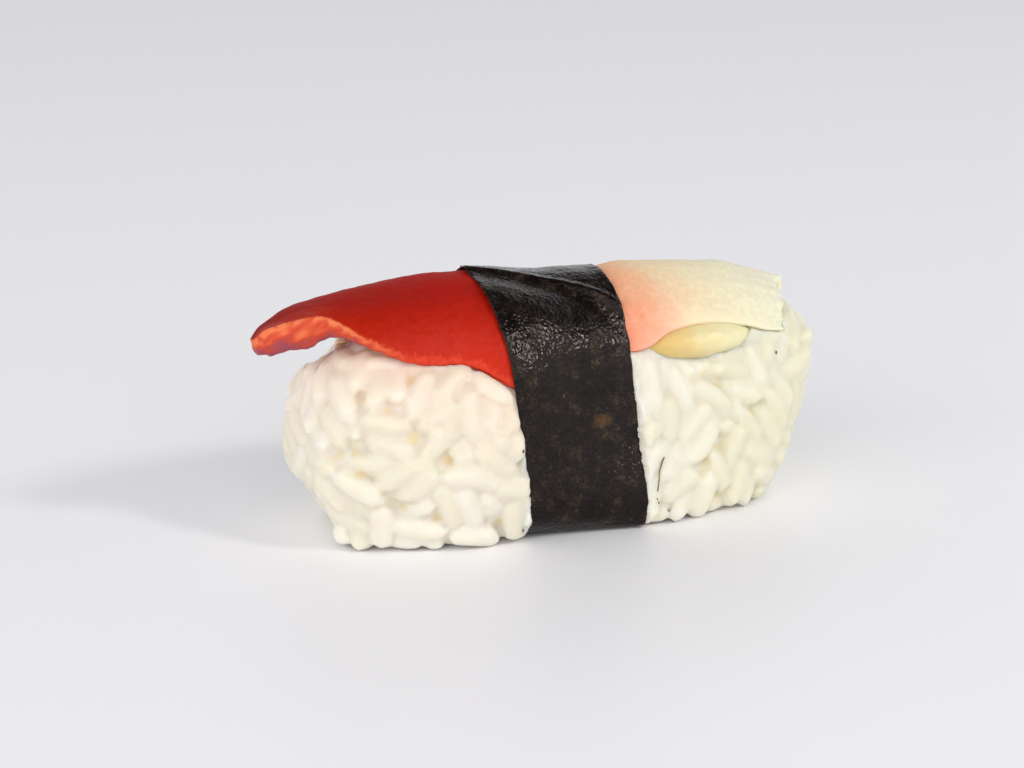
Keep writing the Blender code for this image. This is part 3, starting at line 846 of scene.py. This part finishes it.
def grain_shape(name, bend, belly):
    """One cooked grain along X, with a flatter side, a slight bend and the notch where its germ was."""
    shape = bmesh.new()
    rings = []
    for k in range(1, GRAIN_RINGS + 1):
        along_grain = -1 + 2 * k / (GRAIN_RINGS + 1)
        body = (1 - abs(along_grain) ** 2.7) ** 0.42
        body *= 1 + belly * along_grain
        notch = 0.3 * math.exp(-(((along_grain - 0.72) / 0.16) ** 2))
        ring = []
        for j in range(GRAIN_SIDES):
            angle = 2 * math.pi * j / GRAIN_SIDES
            y = math.cos(angle) * GRAIN_WIDTH / 2 * body + bend * (along_grain**2 - 0.4)
            z = math.sin(angle) * GRAIN_DEPTH / 2 * body
            y -= notch * max(0.0, math.cos(angle))
            ring.append(shape.verts.new((along_grain * GRAIN_LENGTH / 2, y, z)))
        rings.append(ring)
    for near, far in zip(rings, rings[1:]):
        for j in range(GRAIN_SIDES):
            after = (j + 1) % GRAIN_SIDES
            shape.faces.new((near[j], near[after], far[after], far[j]))
    for ring, side in ((rings[0], -1), (rings[-1], 1)):
        tip = shape.verts.new((side * GRAIN_LENGTH / 2 * 0.985, bend * 0.6, 0))
        for j in range(GRAIN_SIDES):
            pair = (ring[j], ring[(j + 1) % GRAIN_SIDES])
            shape.faces.new((*pair[::side], tip))
    bmesh.ops.recalc_face_normals(shape, faces=shape.faces)
    return kind_of_grain(name, shape)


shapes = [
    grain_shape("grain_a", 0.0, 0.04),
    grain_shape("grain_b", 0.22, -0.06),
    grain_shape("grain_c", -0.3, 0.1),
    grain_shape("grain_d", 0.42, 0.0),
]
blob = bmesh.new()
bmesh.ops.create_icosphere(blob, subdivisions=2, radius=1)
blob_shape = kind_of_grain("grain_e_blob", blob)


def pressed_tree():
    """A tree that sets a shape on each point, by its kind, turn and size, and makes them real."""
    tree = bpy.data.node_groups.new("grains on points", "GeometryNodeTree")
    for name, kind in (("Points", "Geometry"), ("Shapes", "Collection"), ("Size", "Float")):
        tree.interface.new_socket(name, in_out="INPUT", socket_type="NodeSocket" + kind)
    tree.interface.new_socket("Grains", in_out="OUTPUT", socket_type="NodeSocketGeometry")
    given = add(tree, "NodeGroupInput")
    kinds = add(
        tree, "GeometryNodeCollectionInfo",
        {"Collection": given.outputs["Shapes"], "Separate Children": True, "Reset Children": True},
    )
    kind, turn, grow = (
        add(tree, "GeometryNodeInputNamedAttribute", {"Name": key}, data_type=data_type)
        for key, data_type in (("kind", "INT"), ("turn", "FLOAT_VECTOR"), ("grow", "FLOAT"))
    )
    turned = add(tree, "FunctionNodeEulerToRotation", {0: turn})
    scaled = add(tree, "Math", {0: grow, 1: given.outputs["Size"]}, operation="MULTIPLY")
    placed = add(
        tree, "GeometryNodeInstanceOnPoints",
        {
            "Points": given.outputs["Points"], "Instance": kinds, "Pick Instance": True,
            "Instance Index": kind, "Rotation": turned, "Scale": scaled,
        },
    )
    real = add(tree, "GeometryNodeRealizeInstances", {"Geometry": placed})
    done = add(tree, "GeometryNodeSetMaterial", {"Geometry": real, "Material": rice_material})
    add(tree, "NodeGroupOutput", {"Grains": done})
    return tree


# Cooked short-grain rice: milky and translucent, warm white, with a wet film. Deep gaps are painted
# straw-yellow, painted shade for the warm light that reaches them through the grains.
rice_material = bpy.data.materials.new("cooked_rice")
rice_material.use_nodes = True
tree = rice_material.node_tree
shader = tree.nodes["Principled BSDF"]
place = add(tree, "TexCoord").outputs["Object"]
painted_gap_shade, tone, painted_red_bounce = (
    add(tree, "Attribute", attribute_name=key).outputs["Fac"] for key in ("painted_gap_shade", "tone", "painted_red_bounce")
)
milky = add(tree, "TexNoise", {"Vector": place, "Scale": grain(1.4), "Detail": 4.0})
tone_mix = add(tree, "Math", {0: milky, 1: tone}, operation="ADD")
rice_tone = add(tree, "Math", {0: tone_mix, 1: 0.5}, operation="MULTIPLY")
grain_colour = add(
    tree, "ValToRGB", {"Fac": rice_tone}, stops=((0.2, "#e0dac6"), (0.5, "#e4decd"), (0.8, "#e8e3d6"))
)
# Painted shade: surfaces deep in the gaps are mixed toward straw-yellow
rice_with_gap_shade = add(tree, "Mix", {"Factor": painted_gap_shade, 6: grain_colour, 7: linear("#e0d0a6")}, data_type="RGBA")
# The far right of the block takes a faint green-yellow tint: painted reflected light
rice_x = add(tree, "SeparateXYZ", {0: place})
green_bounce_share = add(tree, "MapRange", {"Value": rice_x, "From Min": 6 * MM, "From Max": 28 * MM, "To Max": 0.5})
rice_colour = add(tree, "Mix", {"Factor": green_bounce_share, 6: rice_with_gap_shade, 7: linear("#d9d9b8")}, data_type="RGBA")
# and near the red of the clam it takes a pale red tint, painted red light thrown on it by the clam
rice_with_red_bounce = add(tree, "Mix", {"Factor": painted_red_bounce, 6: rice_colour, 7: linear("#f8ccb2")}, data_type="RGBA")
wet = add(tree, "MapRange", {"Value": milky, "To Min": 0.26, "To Max": 0.46})
film = add(tree, "TexNoise", {"Vector": place, "Scale": grain(0.45), "Detail": 4.0, "Roughness": 0.6})
bump = add(tree, "Bump", {"Height": film, "Strength": 0.3, "Distance": 0.1 * MM})
rice_finish = {
    "Base Color": rice_with_red_bounce, "Roughness": wet, "IOR": 1.38, "Subsurface Weight": 0.75,
    "Subsurface Radius": (3.0, 2.2, 1.3), "Subsurface Scale": MM, "Normal": bump,
}
wire(tree, shader, rice_finish)


def turned_to(axes, outs_now):
    """Euler turns that lay grains along their axes, with their flatter side out."""
    turns = []
    for axis, out_now in zip(axes, outs_now):
        x = Vector(axis)
        z = Vector(out_now)
        z -= x * z.dot(x)
        if z.length < 1e-3:
            z = x.orthogonal()
        z.normalize()
        turns.append(Matrix((x, z.cross(x), z)).transposed().to_euler())
    return np.array([turn[:] for turn in turns])


pressed_grains = pressed_tree()
all_places = np.concatenate([grain_middle, tucked, inner, lattice])
all_turns = np.concatenate(
    [
        turned_to(grain_axis, grain_out), turned_to(tuck_axis, tuck_out),
        turned_to(inner_axis, chance.normal(size=inner.shape)), np.zeros_like(lattice),
    ]
)
whole_grains = len(all_places) - len(lattice)
all_sizes = np.concatenate([grain_size, chance.uniform(0.9, 1.05, whole_grains - count), core_radius])
all_kinds = np.concatenate(
    [chance.integers(0, len(shapes), whole_grains), np.full(len(lattice), len(shapes))]
)
bead_tree = kdtree.KDTree(len(beads))
for k, spot in enumerate(beads):
    bead_tree.insert(spot, k)
bead_tree.balance()
grain_tone = chance.random(count)
# The room left under what lies on the rice
COVER_ROOM = 0.03
# Painted shade in the gaps starts on a surface this deep in the block and is full this deep, in millimetres
GAP_SHADE_FROM = 1.5
GAP_SHADE_TO = 3.2
# How strong the painted red light from the clam is on the rice where they touch, and how fast that fades with
# distance
RED_BOUNCE = 0.5
RED_BOUNCE_REACH = 4.0

# The rice closes on the lower edge of the fold: what presses it is a fold this much smaller and higher
FOLD_PRESS = 0.93
FOLD_PRESS_LIFT = 0.25
fold_middle = np.array(FOLD_CENTRE)
fold_press = (np.array(fold_points) - fold_middle) * FOLD_PRESS + fold_middle + (0, 0, FOLD_PRESS_LIFT)
red_skin = BVHTree.FromPolygons(clam_points.tolist(), clam_faces.tolist())
cover_points, cover_faces = [], []
for points, faces in ((clam_points, clam_faces), (fold_press, fold_faces), (leaf_points, leaf_faces)):
    cover_faces += [[int(k) + len(cover_points) for k in face] for face in faces]
    cover_points += points.tolist()
covers = BVHTree.FromPolygons(cover_points, cover_faces)


def squeezed_in(points):
    """The points, moved toward the block's axis where the clam or the band would cut them off from it."""
    placed = points.copy()
    for k, point in enumerate(points):
        start = Vector((point[0], RICE_AXIS[0], RICE_AXIS[1]))
        way = Vector(point) - start
        reached = covers.ray_cast(start, way, way.length + COVER_ROOM)[3]
        if reached is not None:
            placed[k] = start + way.normalized() * (reached - COVER_ROOM)
    return placed


def pressed_rice(name, chosen):
    """One half of the block: its grains set on points, then run together by the film of starch."""
    points = bpy.data.meshes.new(name)
    points.from_pydata((all_places[chosen] * MM + np.array(TO_ORIGIN)).tolist(), [], [])
    turns = points.attributes.new("turn", "FLOAT_VECTOR", "POINT")
    turns.data.foreach_set("vector", all_turns[chosen].ravel())
    mark(points, "grow", all_sizes[chosen])
    kinds = points.attributes.new("kind", "INT", "POINT")
    kinds.data.foreach_set("value", all_kinds[chosen].astype(np.int32))
    holder = put(name + "_points", points)
    grains = holder.modifiers.new("grains", "NODES")
    grains.node_group = pressed_grains
    items = pressed_grains.interface.items_tree
    sockets = {item.name: item.identifier for item in items if item.in_out == "INPUT"}
    grains[sockets["Shapes"]] = grain_kinds
    grains[sockets["Size"]] = MM
    starch = holder.modifiers.new("starch film", "REMESH")
    starch.mode = "VOXEL"
    starch.voxel_size = FILM * MM
    soft = holder.modifiers.new("soft", "SMOOTH")
    soft.factor = 0.5
    soft.iterations = 3
    built = holder.evaluated_get(bpy.context.evaluated_depsgraph_get())
    mesh = bpy.data.meshes.new_from_object(built)
    bpy.data.objects.remove(holder)
    spots = in_mm(mesh)
    depth, out = below_surface(spots)
    to_pit = np.min(np.linalg.norm(spots[:, None, :] - pits[None, :, :], axis=2), axis=1)
    # The starch leaves the pits open, and nothing deep inside needs it
    filled = np.maximum(depth - OPEN_GAP, 0) * (1 - GAP_LEFT) * smooth_step(to_pit, 1.2, 2.4)
    filled *= 1 - smooth_step(depth, 3.0, 5.0)
    spots += out * filled[:, None]
    # What is squeezed takes its neighbours along
    sides = np.empty(len(mesh.edges) * 2, np.int32)
    mesh.edges.foreach_get("vertices", sides)
    one, other = sides.reshape(-1, 2).T
    beside = np.bincount(sides, minlength=len(spots))[:, None]
    moved = squeezed_in(spots) - spots
    for turn in range(6):
        shared = np.zeros_like(moved)
        np.add.at(shared, one, moved[other])
        np.add.at(shared, other, moved[one])
        moved = (moved + shared / np.maximum(beside, 1)) / 2
    spots = squeezed_in(spots + moved)
    spots[:, 2] = np.maximum(spots[:, 2], 0)
    mesh.vertices.foreach_set("co", (spots * MM + np.array(TO_ORIGIN)).astype(np.float32).ravel())
    # Painted shade in the pits and the deep gaps, kept as an attribute
    pit_shade = 1 - smooth_step(to_pit + 0.35 * ripple(spots, 0.8, 17.0), 0.25, 0.95)
    gap_shade_share = np.maximum(smooth_step(depth, GAP_SHADE_FROM, GAP_SHADE_TO), pit_shade * smooth_step(depth, 0.3, 0.9))
    owners = [bead_tree.find(spot)[1] // GRAIN_BEADS for spot in spots]
    to_clam = np.array([red_skin.find_nearest(spot)[3] for spot in spots])
    # Painted reflected light: rice near the red half of the clam is tinted toward red
    red_bounce_share = RED_BOUNCE * np.exp(-to_clam / RED_BOUNCE_REACH) * (1 - smooth_step(spots[:, 0], -8, 4))
    for key, values in (("painted_red_bounce", red_bounce_share), ("painted_gap_shade", gap_shade_share), ("tone", grain_tone[owners])):
        mark(mesh, key, values)
    mesh.materials.clear()
    mesh.materials.append(rice_material)
    mesh.shade_smooth()
    made = put(name, mesh)
    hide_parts("rice")
    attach(made, "root")
    return made


on_left = all_places[:, 0] < RICE_SPLIT_X
rice_left = pressed_rice("rice_left_of_band", on_left)
rice_right = pressed_rice("rice_right_of_band", ~on_left)
for shape in shapes + [blob_shape]:
    bpy.data.objects.remove(shape)
bpy.data.collections.remove(grain_kinds)

# Seaweed crumbs
# A curled sliver and a few flecks that broke off the strip's cut edge and stuck to the moist rice beside it.
# Each row is a place on the front of the rice, x and z, and the crumb's half width.
SLIVER = ((8.45, 7.7, 0.07), (8.2, 7.3, 0.15), (8.0, 6.8, 0.1), (7.85, 6.2, 0.06), (7.7, 5.5, 0.06),
          (7.5, 4.8, 0.05), (7.3, 4.2, 0.04))
FLECKS = ((7.2, 3.4, 0.1), (7.5, 2.9, 0.13), (24.6, 16.4, 0.17), (-8.8, 10.9, 0.18), (-7.6, 2.5, 0.22),
          (-8.2, 1.7, 0.18))
rice_skins = [
    BVHTree.FromPolygons(in_mm(half.data).tolist(), [face.vertices[:] for face in half.data.polygons])
    for half in (rice_left, rice_right)
]


def on_rice(x, z):
    """Where a straight look from the front meets the rice, and the way its surface faces."""
    hits = [skin.ray_cast((x, -30, z), (0, 1, 0)) for skin in rice_skins]
    spot, normal, _, _ = min((hit for hit in hits if hit[0] is not None), key=lambda hit: hit[0].y)
    return spot, normal


crumb_shape = bmesh.new()


def crumb(rows, thickness, lift):
    """A thin closed leaf along places on the rice, with its width at each."""
    rings = []
    for x, z, half in rows:
        spot, normal = on_rice(x, z)
        side = normal.cross(Vector((0, 0, 1))).normalized()
        middle = spot + normal * lift
        rings.append(
            [crumb_shape.verts.new(middle + side * s * half + normal * t * thickness / 2)
             for s, t in ((-1, 0), (0, 1), (1, 0), (0, -1))]
        )
    for near, far in zip(rings, rings[1:]):
        for j in range(4):
            crumb_shape.faces.new((near[j], near[(j + 1) % 4], far[(j + 1) % 4], far[j]))
    crumb_shape.faces.new(rings[0][::-1])
    crumb_shape.faces.new(rings[-1])


crumb(SLIVER, 0.16, 0.1)
for x, z, half in FLECKS:
    crumb(((x, z + half, half * 0.3), (x + half * 0.3, z, half), (x, z - half, half * 0.4)), 0.14, 0.06)
bmesh.ops.recalc_face_normals(crumb_shape, faces=crumb_shape.faces)
crumbs = piece("nori_crumbs", *taken_from(crumb_shape))
# Toasted nori crumbs: thin enough for light to pass, so browner than the strip
tree, shader = finish_of(crumbs, "nori_crumb")
place = add(tree, "TexCoord").outputs["Object"]
crumb_tone = add(tree, "TexNoise", {"Vector": place, "Scale": grain(0.8), "Detail": 3.0})
crumb_colour = add(tree, "ValToRGB", {"Fac": crumb_tone}, stops=((0.35, "#4a3a22"), (0.65, "#7a6238")))
wire(tree, shader, {"Base Color": crumb_colour, "Roughness": 0.6})
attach(crumbs, "root")

# Table, light and camera
# A seamless pale table under three soft lamps, with a bright wall behind and a dim ceiling.
TABLE_SIZE = 3.0
table_shape = bmesh.new()
bmesh.ops.create_grid(table_shape, x_segments=1, y_segments=1, size=TABLE_SIZE / 2)
table_data = bpy.data.meshes.new("table")
table_shape.to_mesh(table_data)
table_shape.free()
table = put("table", table_data)
tree, shader = finish_of(table, "pale_laminate")
wire(tree, shader, {"Base Color": linear("#fafafc"), "Roughness": 0.5})

CAMERA_AZIMUTH = math.radians(-24)
CAMERA_ELEVATION = math.radians(18)
CAMERA_DISTANCE = 320
CAMERA_LENS = 101.25
CAMERA_SENSOR = 36
AIM_RIGHT = -3.7
AIM_UP = 13.1
level = math.cos(CAMERA_ELEVATION)
right = Vector((math.cos(CAMERA_AZIMUTH), math.sin(CAMERA_AZIMUTH), 0))
back = Vector((right.y * level, -right.x * level, math.sin(CAMERA_ELEVATION)))
up = back.cross(right)
camera = put("camera", bpy.data.cameras.new("camera"))
camera.data.lens = CAMERA_LENS
camera.data.sensor_width = CAMERA_SENSOR


def stand(made, spot, away):
    """Stands a lamp or the camera at a spot, turned so that it looks the other way from away."""
    made.matrix_world = Matrix.Translation(spot) @ away.to_track_quat("Z", "Y").to_matrix().to_4x4()


# It stands opposite the block's foot and looks at the middle of the picture
seat = back * CAMERA_DISTANCE
stand(camera, seat * MM + TO_ORIGIN, (seat - right * AIM_RIGHT - up * AIM_UP).normalized())
bpy.context.scene.camera = camera

LAMPS = (
    # name, the way to it, distance and width in metres, power, colour
    ("lamp_right", (0.5, -0.62, 0.6), 0.9, 0.14, 2.0, "#fffaf4"),
    ("lamp_front", (-0.25, -0.7, 0.66), 0.9, 0.8, 1.6, "#fdfcff"),
    ("lamp_left", (-0.85, -0.45, 0.25), 0.8, 0.7, 2.15, "#fffdfb"),
)
for name, way, distance, width, power, colour in LAMPS:
    light = bpy.data.lights.new(name, "AREA")
    light.shape = "SQUARE"
    light.size = width
    light.energy = power
    light.color = linear(colour)[:3]
    way = Vector(way).normalized()
    stand(put(name, light), way * distance, way)

world = bpy.data.worlds.new("studio")
bpy.context.scene.world = world
world.use_nodes = True
tree = world.node_tree
way = add(tree, "TexCoord").outputs["Generated"]
height = add(tree, "SeparateXYZ", {0: way}).outputs["Z"]
rise = add(tree, "MapRange", {"Value": height, "From Min": 0.47, "From Max": 0.74})
ceiling = add(tree, "Mix", {"Factor": rise, 6: linear("#f4f5f8"), 7: linear("#5e5e62")}, data_type="RGBA")
wire(tree, tree.nodes["Background"], {"Color": ceiling, "Strength": 1.27})
bpy.context.scene.view_settings.view_transform = "Standard"
